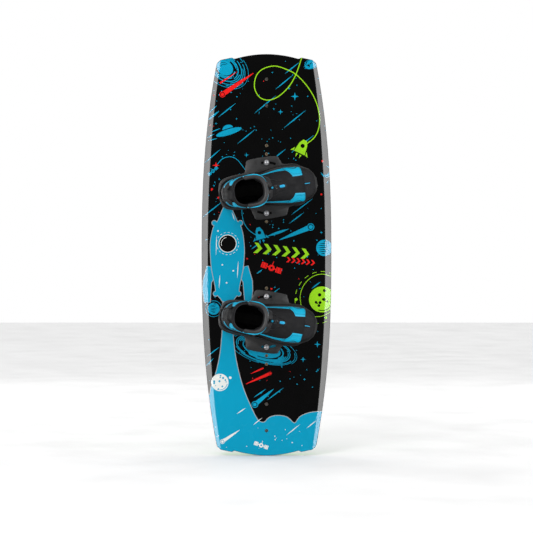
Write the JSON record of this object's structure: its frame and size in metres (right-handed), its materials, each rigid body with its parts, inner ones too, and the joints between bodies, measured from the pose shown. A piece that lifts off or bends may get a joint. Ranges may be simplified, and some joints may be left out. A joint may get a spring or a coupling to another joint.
{
  "type": "wakeboard",
  "caption": "Wakeboard with a fin at each end and a pair of laced boots on turning base frames, stood on its tail with the deck to the front.",
  "frame": {"origin": "middle of the base's flat spot, half way between the tips", "axes": "+Z to the nose, the deck faces -Y and the base +Y, +X towards the toes of both boots"},
  "size_m": [0.3908, 0.2915, 1.2],
  "materials": {
    "deck_gloss": "clear-coated black print",
    "base_gloss": "clear-coated green print",
    "foam": "cut polyurethane foam",
    "brass": "threaded brass",
    "steel": "stainless steel",
    "fin_white": "moulded white plastic",
    "nylon": "moulded black nylon",
    "eva": "moulded foam rubber",
    "liner_fabric": "stretch neoprene",
    "textile": "woven black textile with cyan panels",
    "leather": "smooth synthetic leather",
    "webbing": "black webbing",
    "lace": "round braided lace",
    "lock_plastic": "moulded plastic",
    "cyan_plastic": "moulded cyan plastic"
  },
  "bodies": {
    "board": {"top_skin": "deck_gloss", "base_skin": "base_gloss", "foam_core": "foam", "insert_01": "brass", "insert_02": "brass", "insert_03": "brass", "insert_04": "brass", "insert_05": "brass", "insert_06": "brass", "insert_07": "brass", "insert_08": "brass", "insert_09": "brass", "insert_10": "brass", "insert_11": "brass", "insert_12": "brass", "insert_13": "brass", "insert_14": "brass", "insert_15": "brass", "insert_16": "brass", "nose_fin": "fin_white", "tail_fin": "fin_white", "nose_fin_screw_1": "steel", "nose_fin_screw_2": "steel", "tail_fin_screw_1": "steel", "tail_fin_screw_2": "steel", "left_inner_mount_screw": "steel", "left_outer_mount_screw": "steel", "right_inner_mount_screw": "steel", "right_outer_mount_screw": "steel"},
    "left_binding": {"left_base_frame": "nylon", "left_sole": "eva", "left_footbed": "eva", "left_liner": "liner_fabric", "left_vamp": "textile", "left_heel_counter": "leather", "left_quarter": "leather", "left_cuff": "textile", "left_heel_loop": "webbing", "left_lower_lace": "lace"},
    "left_tongue": {"left_tongue": "leather", "left_upper_lace": "lace", "left_lace_pull": "cyan_plastic"},
    "left_lock": {"left_lace_lock": "lock_plastic"},
    "left_button": {"left_lock_button": "cyan_plastic"},
    "right_binding": {"right_base_frame": "nylon", "right_sole": "eva", "right_footbed": "eva", "right_liner": "liner_fabric", "right_vamp": "textile", "right_heel_counter": "leather", "right_quarter": "leather", "right_cuff": "textile", "right_heel_loop": "webbing", "right_lower_lace": "lace"},
    "right_tongue": {"right_tongue": "leather", "right_upper_lace": "lace", "right_lace_pull": "cyan_plastic"},
    "right_lock": {"right_lace_lock": "lock_plastic"},
    "right_button": {"right_lock_button": "cyan_plastic"}
  },
  "joints": [
    {"name": "left_binding_angle", "type": "hinge", "parent": "board", "child": "left_binding", "pos_m": [0, -0.03303, 0.2016], "axis": [0, -0.9988, -0.0499], "range_deg": [-9, 18]},
    {"name": "left_tongue_fold", "type": "hinge", "parent": "left_binding", "child": "left_tongue", "pos_m": [0.01185, -0.16895, 0.19668], "axis": [-0.1564, -0.0493, 0.9865], "range_deg": [0, 24], "deforming": ["left_upper_lace"]},
    {"name": "left_lock_slide", "type": "slide", "parent": "left_tongue", "child": "left_lock", "axis": [0.8877, -0.4448, 0.1185], "range_m": [0, 0.01]},
    {"name": "left_lock_button_press", "type": "slide", "parent": "left_lock", "child": "left_button", "axis": [0.433, 0.8942, 0.1134], "range_m": [0, 0.0018], "stiffness_N_per_m": 300, "springref_m": -0.001},
    {"name": "right_binding_angle", "type": "hinge", "parent": "board", "child": "right_binding", "pos_m": [0, -0.03303, -0.2016], "axis": [0, 0.9988, -0.0499], "range_deg": [-9, 18]},
    {"name": "right_tongue_fold", "type": "hinge", "parent": "right_binding", "child": "right_tongue", "pos_m": [0.01185, -0.16895, -0.19668], "axis": [0.1564, 0.0493, 0.9865], "range_deg": [0, 24], "deforming": ["right_upper_lace"]},
    {"name": "right_lock_slide", "type": "slide", "parent": "right_tongue", "child": "right_lock", "axis": [0.8877, -0.4448, -0.1185], "range_m": [0, 0.01]},
    {"name": "right_lock_button_press", "type": "slide", "parent": "right_lock", "child": "right_button", "axis": [0.433, 0.8942, -0.1134], "range_m": [0, 0.0018], "stiffness_N_per_m": 300, "springref_m": -0.001}
  ]
}
